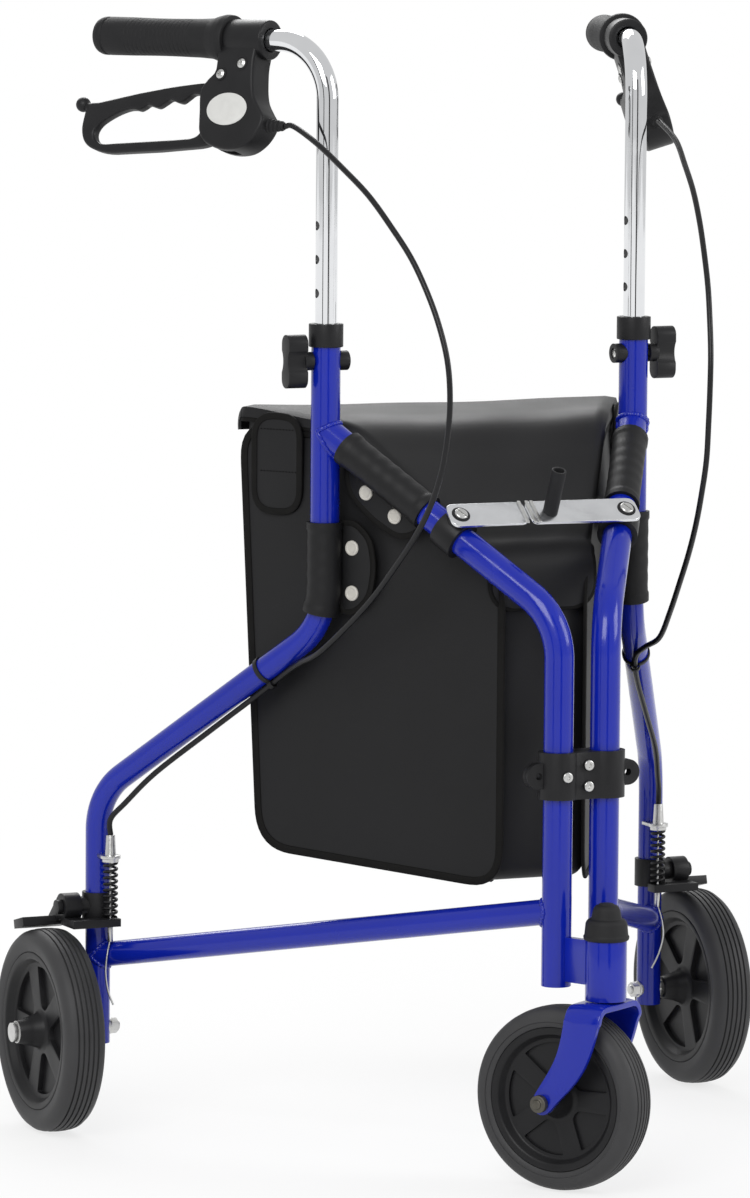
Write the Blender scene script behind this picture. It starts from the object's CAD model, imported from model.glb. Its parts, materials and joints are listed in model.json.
# Three wheel rollator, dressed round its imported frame. Lengths are metres, in the frame's own axes.
import json
from math import atan2, copysign, cos, pi, radians, sin, sqrt, tan

import bmesh
import bpy
from mathutils import Matrix, Vector


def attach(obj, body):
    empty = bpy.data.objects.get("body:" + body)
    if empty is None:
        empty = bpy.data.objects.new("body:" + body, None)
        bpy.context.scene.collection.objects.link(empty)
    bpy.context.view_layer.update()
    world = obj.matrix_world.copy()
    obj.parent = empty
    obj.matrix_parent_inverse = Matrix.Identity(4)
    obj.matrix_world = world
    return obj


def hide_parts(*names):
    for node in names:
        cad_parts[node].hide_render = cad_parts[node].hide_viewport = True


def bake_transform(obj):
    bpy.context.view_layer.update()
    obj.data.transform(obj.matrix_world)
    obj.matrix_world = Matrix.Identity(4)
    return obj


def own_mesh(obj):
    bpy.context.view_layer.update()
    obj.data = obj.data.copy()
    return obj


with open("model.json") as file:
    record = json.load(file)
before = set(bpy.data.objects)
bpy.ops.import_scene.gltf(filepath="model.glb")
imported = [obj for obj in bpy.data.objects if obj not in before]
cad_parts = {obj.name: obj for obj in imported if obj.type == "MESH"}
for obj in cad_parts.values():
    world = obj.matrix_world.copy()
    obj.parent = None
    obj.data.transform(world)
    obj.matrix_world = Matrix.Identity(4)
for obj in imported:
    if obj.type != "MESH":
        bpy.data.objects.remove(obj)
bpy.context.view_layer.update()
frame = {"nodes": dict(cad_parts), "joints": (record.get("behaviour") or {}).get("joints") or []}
scene = bpy.context.scene
scene.view_settings.view_transform = "Standard"

# Camera
# A long lens stands off to the walker's left, a little above its handles, and looks slightly down.
# Its place was fitted to the tubes and wheels in the photograph.
camera_place = (-2.6218, -5.4178, 1.1231)
camera_yaw = radians(-25.0)
camera_pitch = radians(6.1)
camera_roll = radians(0.43)
camera = bpy.data.objects.new("camera", bpy.data.cameras.new("camera"))
camera.data.sensor_width = 36
camera.data.lens = 208.9
camera.data.shift_x = -0.004
aim = Matrix.Rotation(camera_yaw, 4, "Z") @ Matrix.Rotation(pi / 2 - camera_pitch, 4, "X")
camera.matrix_world = Matrix.Translation(camera_place) @ aim @ Matrix.Rotation(camera_roll, 4, "Z")
scene.collection.objects.link(camera)
scene.camera = camera


# Studio
# A pale floor and an even white room, with large soft lamps to the left, right and above.
# The floor and the room show as white, the floor keeps the walker's soft shadow, and two dark cards that
# only mirrors see give the bright tubes their dark streaks.
class Shade:
    """One socket of a material's node tree. Arithmetic on it adds Math nodes."""

    def __init__(self, tree, socket=None):
        self.tree = tree
        self.socket = socket

    def node(self, kind, settings=(), inputs=(), out=0):
        made = self.tree.nodes.new("ShaderNode" + kind)
        for name, value in dict(settings).items():
            if name == "stops":
                for element, (place, grey) in zip(made.color_ramp.elements, value):
                    element.position = place
                    element.color = (grey, grey, grey, 1)
            else:
                setattr(made, name, value)
        for name, value in dict(inputs).items():
            if isinstance(value, Shade):
                self.tree.links.new(value.socket, made.inputs[name])
            else:
                made.inputs[name].default_value = value
        return Shade(self.tree, made.outputs[out])

    def math(self, operation, *values):
        return self.node("Math", {"operation": operation}, dict(enumerate(values)))

    def mix(self, low, high):
        return self.node("Mix", {"data_type": "RGBA"}, {0: self, 6: low, 7: high}, out=2)

    def ramp(self, *stops):
        return self.node("ValToRGB", {"stops": stops}, {"Fac": self})

    def __add__(self, other):
        return self.math("ADD", self, other)

    def __mul__(self, other):
        return self.math("MULTIPLY", self, other)

    __radd__ = __add__
    __rmul__ = __mul__


camera_ray = 0
mirror_ray = 3
object_place = 3


def finish_of(name, slot, colour, roughness, metallic=0.0, coat=0.0, gloss=0.5):
    """A new material with its slot and its shader's even values, and the sockets to build on."""
    material = bpy.data.materials.new(name)
    material.use_nodes = True
    shader = material.node_tree.nodes["Principled BSDF"]
    even = {"Base Color": (*colour, 1), "Roughness": roughness, "Metallic": metallic,
            "Coat Weight": coat, "Coat Roughness": 0.08, "Specular IOR Level": gloss}
    for socket, value in even.items():
        shader.inputs[socket].default_value = value
    return material, Shade(material.node_tree), shader


bpy.ops.mesh.primitive_plane_add(size=30, location=(0, 0, -0.0004))
floor = bpy.context.object
floor.name = "floor"
floor_paint, floor_shade, floor_lit = finish_of("pale floor", None, (0.86, 0.86, 0.86), 0.9)
floor_glow = floor_shade.node("Emission", (), {"Color": (1, 1, 1, 1), "Strength": 1.0})
floor_place = floor_shade.node("TexCoord", out=object_place)
floor_away = floor_shade.node("VectorMath", {"operation": "LENGTH"}, {0: floor_place}, out=1)
floor_clear = (0.45 * floor_away).ramp((0.2, 0.76), (0.9, 1.0))
floor_matt = Shade(floor_paint.node_tree, floor_lit.outputs[0])
floor_rays = [floor_shade.node("LightPath", out=ray) for ray in (camera_ray, mirror_ray)]
floor_share = floor_clear * floor_shade.math("MAXIMUM", *floor_rays)
floor_mix = floor_shade.node("MixShader", (), {0: floor_share, 1: floor_matt, 2: floor_glow})
floor_surface = floor_paint.node_tree.nodes["Material Output"].inputs["Surface"]
floor_paint.node_tree.links.new(floor_mix.socket, floor_surface)
floor.data.materials.append(floor_paint)

room = bpy.data.worlds.new("white room")
room.use_nodes = True
scene.world = room
room_shade = Shade(room.node_tree)
room_light = room.node_tree.nodes["Background"]
room_level = 0.55
mirror_level = 0.7
room_seen = (1 - room_level) * room_shade.node("LightPath", out=camera_ray)
room_mirrored = (mirror_level - room_level) * room_shade.node("LightPath", out=mirror_ray)
room_glow = room_level + room_seen + room_mirrored
room.node_tree.links.new(room_glow.socket, room_light.inputs["Strength"])
room_light.inputs["Color"].default_value = (1, 1, 1, 1)

lamp_aim = Vector((0, 0, 0.5))
lamp_places = {
    "key lamp": ((-2.4, -2.6, 2.8), 2.2, 90),
    "fill lamp": ((2.8, -2.0, 1.9), 1.8, 45),
    "back lamp": ((0.6, 2.6, 2.6), 1.8, 50),
}
for lamp_name, (place, size, power) in lamp_places.items():
    lamp = bpy.data.objects.new(lamp_name, bpy.data.lights.new(lamp_name, "AREA"))
    lamp.data.size = size
    lamp.data.energy = power
    lamp.location = place
    lamp.rotation_euler = (lamp_aim - Vector(place)).to_track_quat("-Z", "Y").to_euler()
    scene.collection.objects.link(lamp)

dark_cards = {
    "dark card right": ((-0.35, -2.55, 0.9), 0.55),
    "dark card left": ((-2.35, -1.15, 0.9), 0.35),
}
card_paint = finish_of("dark card", None, (0.01, 0.01, 0.01), 1.0)[0]
card_height = 3.0
for card_name, (place, width) in dark_cards.items():
    bpy.ops.mesh.primitive_plane_add(size=1, location=place)
    card = bpy.context.object
    card.name = card_name
    card.scale = (width, card_height, 1)
    card.rotation_euler = Vector((*place[:2], 0)).to_track_quat("Z", "Y").to_euler()
    card.visible_camera = False
    card.visible_diffuse = False
    card.visible_shadow = False
    card.data.materials.append(card_paint)

# Brake cables
# Black sheathed steel cables run from the brake housings in a wide bow past the uprights, under a tie on
# the rear legs and on to the brakes. They are stiff, held at both ends, and bend with the handle's height.
joints = {joint["name"]: joint for joint in frame["joints"]}
tube_half_gap, front_y, clamp_z = joints["frame_fold"]["pos_m"]
splay = radians(32)
sides = {"left": -1, "right": 1}
upright_run = 0.238
leg_run = 0.476
grip_z = 0.965
handle_turn = {"left": radians(28), "right": radians(20)}
brake_tilt = radians(18)


def in_frame(side, along, out, height):
    """A point of a side frame: how far along it, how far outboard of it, and its height."""
    x = tube_half_gap + along * sin(splay) + out * cos(splay)
    return Vector((sides[side] * x, front_y + along * cos(splay) - out * sin(splay), height))


def at_handle(side):
    """Places local X along the handle, Y to its left and Z up, from the upright's axis at grip height."""
    turn = pi / 2 - sides[side] * handle_turn[side]
    return Matrix.Translation(in_frame(side, upright_run, 0, grip_z)) @ Matrix.Rotation(turn, 4, "Z")


def at_brake(side):
    """The handle's place, turned about the handle to the brake, which hangs outwards."""
    return at_handle(side) @ Matrix.Rotation(-sides[side] * brake_tilt, 4, "X")


def smooth_line(points, steps, closed=False):
    """A smooth curve through hand placed points."""
    count = len(points)
    line = []
    for i in range(count if closed else count - 1):
        spots = [(i + k) % count if closed else min(max(i + k, 0), count - 1) for k in (-1, 0, 1, 2)]
        a, b, c, d = (Vector(points[spot]) for spot in spots)
        for step in range(steps):
            t = step / steps
            line.append(0.5 * (2 * b + (c - a) * t + (2 * a - 5 * b + 4 * c - d) * t * t
                               + (3 * b - a - 3 * c + d) * t ** 3))
    return line if closed else line + [Vector(points[-1])]


def only(piece):
    """Makes a piece the one selected, active object."""
    bpy.ops.object.select_all(action="DESELECT")
    piece.select_set(True)
    bpy.context.view_layer.objects.active = piece
    return piece


def added(name, data):
    """A new object in the scene, selected by itself."""
    piece = bpy.data.objects.new(name, data)
    scene.collection.objects.link(piece)
    return only(piece)


def edit(piece):
    """Opens a piece for editing, with all of it selected."""
    only(piece)
    bpy.ops.object.mode_set(mode="EDIT")
    bpy.ops.mesh.select_all(action="SELECT")


def closed_mesh(piece, merge=1e-6):
    """Merges a piece's doubles and turns its faces outwards."""
    edit(piece)
    bpy.ops.mesh.remove_doubles(threshold=merge)
    bpy.ops.mesh.normals_make_consistent(inside=False)
    bpy.ops.object.mode_set(mode="OBJECT")
    return piece


def smooth(piece, sharp):
    """Shades a piece smooth, apart from edges sharper than an angle in degrees."""
    only(piece)
    bpy.ops.object.shade_smooth_by_angle(angle=radians(sharp))
    return piece


def round_bar(name, line, radius, closed=False, swell=None, roundness=5):
    """A round bar along a line, with a swell factor for each point if it isn't even."""
    curve = bpy.data.curves.new(name, "CURVE")
    curve.dimensions = "3D"
    curve.bevel_depth = radius
    curve.bevel_resolution = roundness
    curve.use_fill_caps = True
    spline = curve.splines.new("POLY")
    spline.points.add(len(line) - 1)
    spline.use_cyclic_u = closed
    for index, place in enumerate(line):
        spline.points[index].co = (*place, 1)
        spline.points[index].radius = swell[index] if swell else 1
    added(name, curve)
    bpy.ops.object.convert(target="MESH")
    return smooth(closed_mesh(bpy.context.object), 50)


def object_noise(shade, scale, detail=3):
    """Noise fixed to the piece, at so many cells a metre."""
    place = shade.node("TexCoord", out=object_place)
    return shade.node("TexNoise", (), {"Vector": place, "Scale": scale, "Detail": detail})


def drive(shade, shader, colours, roughness, height=None, strength=0.2, distance=0.0005):
    """Feeds colours (mask, low, high), a roughness and a bump height to a shader."""
    mask, low, high = colours
    mixed = mask.mix((*low, 1), (*high, 1))
    shade.tree.links.new(mixed.socket, shader.inputs["Base Color"])
    shade.tree.links.new(roughness.socket, shader.inputs["Roughness"])
    if height:
        bump = shade.node("Bump", (), {"Height": height, "Strength": strength, "Distance": distance})
        shade.tree.links.new(bump.socket, shader.inputs["Normal"])


def clouded(name, slot, colour, roughness, cloud, low, high, rough, grain=None, bump=(), **even):
    """A material with clouds between two shades, a roughness from them and a bump of finer grain."""
    material, shade, shader = finish_of(name, slot, colour, roughness, **even)
    clouds = object_noise(shade, *cloud)
    height = object_noise(shade, *grain) if grain else None
    drive(shade, shader, (clouds, low, high), rough[0] + rough[1] * clouds, height, *bump)
    return material


def settle(piece, body, material, *nodes, slot=None):
    """Gives a finished piece its finish, the body that it moves with and the CAD nodes that it stands for."""
    piece.data.materials.clear()
    piece.data.materials.append(material)
    if nodes:
        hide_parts(*nodes)
    if body:
        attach(piece, body)
    return piece


sheath = clouded("cable sheath", "cable", (0.008, 0.008, 0.009), 0.32, (900,), (0.004, 0.004, 0.005),
                 (0.011, 0.011, 0.012), (0.26, 0.16), (900,), (0.15, 0.0002), gloss=0.3)
cable_d = 0.005
cable_route = [
    (0.224, 0.036, 0.879), (0.190, 0.047, 0.859), (0.158, 0.057, 0.838), (0.130, 0.065, 0.813),
    (0.106, 0.071, 0.788), (0.087, 0.076, 0.761), (0.073, 0.079, 0.734), (0.063, 0.081, 0.705),
    (0.060, 0.081, 0.676), (0.062, 0.080, 0.646), (0.069, 0.078, 0.613), (0.083, 0.073, 0.582),
    (0.102, 0.067, 0.554), (0.127, 0.059, 0.526), (0.156, 0.049, 0.497), (0.188, 0.039, 0.470),
    (0.225, 0.027, 0.443), (0.254, 0.012, 0.431), (0.276, 0.002, 0.420), (0.307, 0.000, 0.398),
    (0.356, 0.004, 0.362), (0.408, 0.009, 0.323), (0.440, 0.009, 0.294),
]
boot_along = 0.028
boot_z = -0.076
boot_gap = 0.0008
boot_lead = 0.010
cable_in = 0.003
cable_front = 0.0215
ferrule_top = 0.264
foot_lead = 0.014
for side in sides:
    leg_place = in_frame(side, leg_run, 0, 0)
    cable_foot = leg_place + Vector((-sides[side] * cable_in, -cable_front, ferrule_top))
    cable_start = at_brake(side) @ Vector((boot_along - boot_gap, 0, boot_z))
    cable_lead = at_brake(side) @ Vector((boot_along - boot_lead, 0, boot_z))
    cable_points = [cable_start, cable_lead, *(in_frame(side, *point) for point in cable_route)]
    cable_line = smooth_line([*cable_points, cable_foot + Vector((0, 0, foot_lead)), cable_foot], 6)
    cable_length = sum((b - a).length for a, b in zip(cable_line, cable_line[1:]))
    cable = round_bar(side + "_brake_cable", cable_line, cable_d / 2)
    settle(cable, None, sheath, side + "_cable")
    side + "_handle"
    side + "_frame"
    in_frame(side, 0.127, 0.059, 0.526)
    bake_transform(cable)

# Frame tubes
# Two side frames of bent steel tube under a glossy deep blue enamel: uprights, front tubes, rear legs and
# crossbars, and the head tube with its gusset in front. They are welded where they meet.
enamel, enamel_shade, enamel_shader = finish_of("blue enamel", "blue", (0.003, 0.014, 0.32), 0.2,
                                                coat=0.3, gloss=0.3)
enamel_pool = object_noise(enamel_shade, 9)
enamel_peel = object_noise(enamel_shade, 420, 1)
enamel_scuff = object_noise(enamel_shade, 60, 6).ramp((0.55, 0), (0.75, 1))
drive(enamel_shade, enamel_shader, (enamel_pool, (0.002, 0.011, 0.28), (0.004, 0.017, 0.36)),
      0.15 + 0.07 * enamel_pool + 0.12 * enamel_scuff, enamel_peel, 0.08, 0.0002)


def modify(piece, kind, **settings):
    """Applies one modifier to a piece."""
    only(piece)
    modifier = piece.modifiers.new(kind, kind)
    for name, value in settings.items():
        setattr(modifier, name, value)
    bpy.ops.object.modifier_apply(modifier=modifier.name)
    return piece


def soften(piece, edge, rounds=2, sharp=35):
    """Rounds a piece's sharp edges."""
    return modify(piece, "BEVEL", width=edge, segments=rounds, limit_method="ANGLE",
                  angle_limit=radians(sharp))


def skin(node, edge=0.0004, rounds=2, sharp=35):
    """A copy of a CAD node with merged faces, softened edges and smooth shading."""
    piece = added(node + "_skin", frame["nodes"][node].data.copy())
    edit(piece)
    bpy.ops.mesh.remove_doubles(threshold=2e-6)
    bpy.ops.mesh.dissolve_limited(angle_limit=radians(0.5))
    bpy.ops.object.mode_set(mode="OBJECT")
    return smooth(soften(piece, edge, rounds, sharp), sharp)


def dress(node, body, material, *edges):
    """Skins a CAD node and settles the skin in its place."""
    return settle(skin(node, *edges), body, material, node)


def bent(points, radius, steps=16):
    """A line through points, with its corners turned into arcs."""
    line = [Vector(points[0])]
    for a, b, c in zip(points, points[1:], points[2:]):
        back = (Vector(a) - Vector(b)).normalized()
        ahead = (Vector(c) - Vector(b)).normalized()
        half = back.angle(ahead) / 2
        centre = Vector(b) + (back + ahead).normalized() * radius / sin(half)
        first = Vector(b) + back * radius / tan(half) - centre
        last = Vector(b) + ahead * radius / tan(half) - centre
        sweep = first.angle(last)
        for step in range(steps + 1):
            t = sweep * step / steps
            line.append(centre + (first * sin(sweep - t) + last * sin(t)) / sin(sweep))
    return line + [Vector(points[-1])]


main_r = 0.0127
leg_r = 0.011
bend_r = 0.060
junction_z = 0.632
corner_z = 0.484
bar_front_z = 0.236
bar_rear_z = 0.154
tube_paths = {
    "upright": (main_r, [(upright_run, 0.496), (upright_run, 0.721)]),
    "rear_leg": (leg_r, [(upright_run, 0.512), (upright_run, 0.463), (leg_run, 0.298), (leg_run, 0.076)]),
    "front_tube": (main_r, [(upright_run, junction_z), (0, corner_z), (0, 0.172)]),
    "crossbar": (leg_r, [(0, bar_front_z), (leg_run, bar_rear_z)]),
}
for side in sides:
    for tube, (tube_r, corners) in tube_paths.items():
        tube_line = bent([in_frame(side, s, 0, z) for s, z in corners], bend_r)
        bar = round_bar(f"{side}_{tube}_tube", tube_line, tube_r, roundness=14)
        settle(bar, side + "_frame", enamel, f"{side}_{tube}")
dress("head_tube", "left_frame", enamel, 0.0008)

# Weld beads
# Where one steel tube meets another it is welded all round. The rippled bead is painted over with the tubes.
weld_r = 0.0021
weld_steps = 96
weld_ripples = 24
weld_swell = 0.16


def weld(name, body, foot, branch, branch_r, stem_r):
    """A bead where a tube of branch_r, running along branch, meets an upright tube of stem_r at foot."""
    branch = branch.normalized()
    across = branch.cross(Vector((0, 0, 1))).normalized()
    upward = across.cross(branch)
    line = []
    swell = []
    for step in range(weld_steps):
        angle = 2 * pi * step / weld_steps
        ring = branch_r * (cos(angle) * across + sin(angle) * upward)
        flat_ring = Vector((ring.x, ring.y, 0))
        flat_way = Vector((branch.x, branch.y, 0))
        b = flat_ring.dot(flat_way)
        c = flat_ring.length_squared - stem_r ** 2
        reach = (-b + sqrt(max(b * b - flat_way.length_squared * c, 0))) / flat_way.length_squared
        line.append(foot + ring + branch * reach)
        swell.append(1 + weld_swell * sin(weld_ripples * angle))
    bead = round_bar(name, line, weld_r, closed=True, swell=swell, roundness=3)
    return settle(bead, body, enamel)


for side in sides:
    body = side + "_frame"
    upright_top = in_frame(side, upright_run, 0, junction_z)
    front_corner = in_frame(side, 0, 0, corner_z)
    bar_front = in_frame(side, 0, 0, bar_front_z)
    bar_rear = in_frame(side, leg_run, 0, bar_rear_z)
    weld(side + "_upright_weld", body, upright_top, front_corner - upright_top, main_r, main_r)
    weld(side + "_bar_front_weld", body, bar_front, bar_rear - bar_front, leg_r, main_r)
    weld(side + "_bar_rear_weld", body, bar_rear, bar_front - bar_rear, leg_r, leg_r)

# Handle tubes
# Bright chromed steel tubes slide in the uprights, bend over to the grips and have a row of height holes.
# The plating is mirror smooth with a faint haze where hands have been.
chrome, chrome_shade, chrome_shader = finish_of("chrome plate", "chrome", (0.80, 0.81, 0.83), 0.06,
                                                metallic=1.0)
chrome_haze = object_noise(chrome_shade, 35, 4)
drive(chrome_shade, chrome_shader, (chrome_haze, (0.74, 0.75, 0.77), (0.86, 0.87, 0.88)),
      0.03 + 0.09 * chrome_haze.ramp((0.45, 0), (0.8, 1)))


def spaced(line, pitch, closed=False):
    """Points at an even pitch along a line."""
    path = [*line, line[0]] if closed else list(line)
    total = sum((b - a).length for a, b in zip(path, path[1:]))
    count = max(2, round(total / pitch))
    step = total / count
    made = [path[0]]
    gone = 0.0
    for a, b in zip(path, path[1:]):
        length = (b - a).length
        while length > 0 and len(made) * step <= gone + length + 1e-9 and len(made) <= count:
            made.append(a.lerp(b, (len(made) * step - gone) / length))
        gone += length
    return made[:-1] if closed else made


def carve(piece, cutter):
    """Cuts one piece out of another and removes the cutter."""
    modify(piece, "BOOLEAN", operation="DIFFERENCE", object=cutter, solver="EXACT")
    bpy.data.objects.remove(cutter)
    return piece


handle_r = 0.0095
handle_wall = 0.0012
handle_bend = 0.050
handle_corners = [(0, 0, -0.361), (0, 0, 0), (0.244, 0, 0)]
handle_line = spaced(bent(handle_corners, handle_bend), 0.003)
hole_heights = [0.750, 0.779, 0.808]
hole_r = 0.004
for side in sides:
    rail_line = [at_handle(side) @ spot for spot in handle_line]
    rail = round_bar(side + "_chrome_tube", rail_line, handle_r, roundness=14)
    for height in hole_heights:
        hole_spot = in_frame(side, upright_run, 0, height)
        bpy.ops.mesh.primitive_cylinder_add(vertices=24, radius=hole_r, depth=0.03, location=hole_spot,
                                            rotation=(0, pi / 2, 0))
        carve(rail, bpy.context.object)
        ends = Vector((handle_r - handle_wall, 0, 0))
        hole_name = f"{side}_hole_{height * 1000:.0f}"
        inside = round_bar(hole_name, [hole_spot - ends, hole_spot + ends], hole_r - 0.0001)
        settle(inside, side + "_handle", sheath, slot="chrome")
    settle(smooth(rail, 40), side + "_handle", chrome, side + "_handle_tube")

# Collars, knob nuts and clamping knobs
# Moulded black collars cap the uprights. A two-lobed knob outside and a nut inside clamp each handle at its
# height; their edges are rounded by the mould and the surface is finely textured.
moulded = clouded("moulded black plastic", "black_plastic", (0.010, 0.010, 0.011), 0.42, (45,),
                  (0.007, 0.007, 0.008), (0.014, 0.014, 0.015), (0.34, 0.16), (1600, 2), (0.22, 0.00012),
                  gloss=0.25)
for side in sides:
    dress(side + "_collar", side + "_frame", moulded, 0.0012, 3)
    dress(side + "_knob_nut", side + "_frame", moulded, 0.001, 3)
    dress(side + "_knob", side + "_knob", moulded, 0.0028, 4, 40)

# Clamping screws' hex sockets in the nuts
# A plated steel screw end sits in each nut's recess. It is domed, with a six sided socket sunk in its
# middle, and stays with the side frame.
zinc = clouded("zinc plate", "zinc", (0.60, 0.60, 0.59), 0.28, (180, 4), (0.46, 0.46, 0.45),
               (0.74, 0.74, 0.73), (0.2, 0.22), metallic=1.0)


def mesh_piece(name, verts, edges, faces):
    """A new piece of the points, edges and faces given."""
    mesh = bpy.data.meshes.new(name)
    mesh.from_pydata(verts, edges, faces)
    return added(name, mesh)


def turned(name, profile, place, steps=64, closed=False, sharp=40):
    """A turned piece from (along, radius) pairs: its axis is the place's local Z."""
    count = len(profile)
    edges = [(i, (i + 1) % count) for i in range(count if closed else count - 1)]
    piece = mesh_piece(name, [(radius, 0, along) for along, radius in profile], edges, [])
    edit(piece)
    bpy.ops.mesh.spin(steps=steps, angle=2 * pi, center=(0, 0, 0), axis=(0, 0, 1))
    bpy.ops.object.mode_set(mode="OBJECT")
    smooth(closed_mesh(piece, 2e-6), sharp)
    piece.data.transform(place)
    return piece


def rounded_profile(points, radius, steps=4):
    """Rounds the inner corners of a profile, as far as its sides allow."""
    made = [Vector(points[0])]
    for a, b, c in zip(points, points[1:], points[2:]):
        a, b, c = Vector(a), Vector(b), Vector(c)
        cut = min(radius, (a - b).length * 0.45, (c - b).length * 0.45)
        start = b + (a - b).normalized() * cut
        end = b + (c - b).normalized() * cut
        for step in range(steps + 1):
            t = step / steps
            made.append(start * (1 - t) ** 2 + 2 * b * t * (1 - t) + end * t * t)
    return [tuple(p) for p in made + [Vector(points[-1])]]


def screw_head(name, place, head_r, head_h, socket_r, socket_sides=6):
    """A domed screw head with a sunk socket, standing on the place's local XY plane."""
    profile = rounded_profile([(0, head_r * 0.98), (head_h * 0.45, head_r), (head_h, head_r * 0.55),
                               (head_h, socket_r * 1.12)], head_h * 0.5)
    piece = turned(name, profile, Matrix.Identity(4), 48)
    only(piece)
    bpy.ops.object.mode_set(mode="EDIT")
    rim = bmesh.from_edit_mesh(piece.data)
    for vert in rim.verts:
        vert.select = vert.co.z > head_h * 0.99 and vert.co.xy.length < socket_r * 1.2
    rim.select_flush(True)
    bpy.ops.mesh.edge_face_add()
    bpy.ops.mesh.inset(thickness=socket_r * 0.12)
    bmesh.update_edit_mesh(piece.data)
    for vert in bmesh.from_edit_mesh(piece.data).verts:
        if vert.select:
            angle = atan2(vert.co.y, vert.co.x)
            wedge = pi / socket_sides
            flat = cos(wedge) / cos((angle % (2 * wedge)) - wedge)
            vert.co.xy = vert.co.xy.normalized() * socket_r * flat
    bpy.ops.mesh.extrude_region_move(TRANSFORM_OT_translate={"value": (0, 0, -head_h * 0.6)})
    bpy.ops.object.mode_set(mode="OBJECT")
    smooth(piece, 35)
    piece.data.transform(place)
    return piece


def facing(place, way):
    """Places local Z along a direction."""
    return Matrix.Translation(place) @ way.to_track_quat("Z", "Y").to_matrix().to_4x4()


nut_z = 0.692
nut_deep = 0.004
nut_screw = {"head_r": 0.0062, "head_h": 0.0022, "socket_r": 0.0038}
for side in sides:
    inward = Vector((-sides[side], 0, 0))
    nut_seat = facing(in_frame(side, upright_run, 0, nut_z) + inward * (main_r + nut_deep), inward)
    clamp_screw = screw_head(side + "_clamp_screw", nut_seat, **nut_screw)
    settle(clamp_screw, side + "_frame", zinc)

# Grips
# Soft black rubber sleeves pushed on the handle tubes, a little waisted, with a rolled collar against the
# brake housing and a round end with one groove. Fine rings are moulded round them.
rubber = clouded("grip rubber", "rubber", (0.012, 0.012, 0.013), 0.62, (70, 4), (0.008, 0.008, 0.009),
                 (0.017, 0.017, 0.018), (0.52, 0.2), (2200, 2), (0.3, 0.0002), gloss=0.25)
grip_end = 0.250
grip_start = 0.1022
grip_profile = [
    (grip_start, 0.0096), (grip_start, 0.0205), (grip_start + 0.006, 0.0212), (grip_start + 0.012, 0.0200),
    (grip_start + 0.020, 0.0176), (grip_start + 0.034, 0.0168)]
ring_count = 16
ring_pitch = 0.0046
ring_start = 0.040
grip_waist = 0.0004
for ring in range(ring_count):
    ring_at = grip_start + ring_start + ring * ring_pitch
    waist = grip_waist * sin(pi * ring / (ring_count - 1))
    grip_profile += [(ring_at, 0.0167 - waist), (ring_at + 0.0006, 0.0164 - waist),
                     (ring_at + 0.0012, 0.0167 - waist)]
grip_profile += [(grip_end - 0.0125, 0.0168), (grip_end - 0.0117, 0.0160), (grip_end - 0.0109, 0.0160),
                 (grip_end - 0.0101, 0.0168), (grip_end - 0.006, 0.0167), (grip_end - 0.002, 0.0152),
                 (grip_end, 0.012), (grip_end, 0.0)]
along_handle = Matrix.Rotation(pi / 2, 4, "Y")
for side in sides:
    grip_place = at_handle(side) @ along_handle
    grip = turned(side + "_handle_grip", rounded_profile(grip_profile, 0.0012, 3), grip_place)
    settle(grip, side + "_handle", rubber, side + "_grip")

# Brake housings
# Moulded black housings clamp round the handle tubes: a block above with two plated screws, and a round
# drum below where the lever pivots. The cable leaves the drum's front through a ribbed boot.
housing_w = 0.026
housing_outline = [
    (0.0645, 0.006), (0.082, 0.0062), (0.100, 0.006), (0.1035, 0.000), (0.107, -0.012), (0.106, -0.024),
    (0.106, -0.033), (0.112, -0.040), (0.117, -0.048), (0.117, -0.057), (0.1145, -0.068), (0.1125, -0.078),
    (0.110, -0.087), (0.103, -0.095), (0.092, -0.0995), (0.077, -0.1015), (0.062, -0.099), (0.051, -0.091),
    (0.0445, -0.080), (0.044, -0.071), (0.050, -0.0635), (0.057, -0.055), (0.061, -0.046), (0.064, -0.034),
    (0.066, -0.022), (0.066, -0.006)]
lever_slot = 0.0112
badge_centre = (0.084, -0.066)
badge_r = (0.0215, 0.0145)


def plate(name, outline, thickness, place, edge=0.0, rounds=3, sharp=35, holes=()):
    """A flat plate cut to an outline in the place's local XY plane, with holes and rounded edges."""
    verts = []
    edges = []
    for loop in (outline, *holes):
        first = len(verts)
        verts += [(x, y, -thickness / 2) for x, y in loop]
        edges += [(first + i, first + (i + 1) % len(loop)) for i in range(len(loop))]
    piece = mesh_piece(name, verts, edges, [])
    edit(piece)
    if holes:
        bpy.ops.mesh.fill()
        bpy.ops.mesh.dissolve_limited(angle_limit=radians(1))
    else:
        bpy.ops.mesh.edge_face_add()
    bpy.ops.mesh.select_all(action="SELECT")
    bpy.ops.mesh.extrude_region_move(TRANSFORM_OT_translate={"value": (0, 0, thickness)})
    bpy.ops.mesh.select_all(action="SELECT")
    bpy.ops.mesh.normals_make_consistent(inside=False)
    bpy.ops.object.mode_set(mode="OBJECT")
    if edge:
        soften(piece, edge, rounds, sharp)
    smooth(piece, sharp)
    piece.data.transform(place)
    return piece


def oval(centre, radius_x, radius_y, steps=48):
    """Points round an oval."""
    turns = [2 * pi * step / steps for step in range(steps)]
    return [(centre[0] + radius_x * cos(t), centre[1] + radius_y * sin(t)) for t in turns]


def smooth_outline(points, steps=5):
    """A smooth closed outline through hand placed points."""
    return [tuple(p) for p in smooth_line(points, steps, closed=True)]


def rounded_loop(points, radius, steps=4):
    """Rounds the corners of a closed outline."""
    return rounded_profile([points[-1], *points, points[0]], radius, steps)[1:-1]


def box_outline(low_x, high_x, low_y, high_y):
    """The four corners of a flat box."""
    return [(low_x, low_y), (high_x, low_y), (high_x, high_y), (low_x, high_y)]


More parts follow.
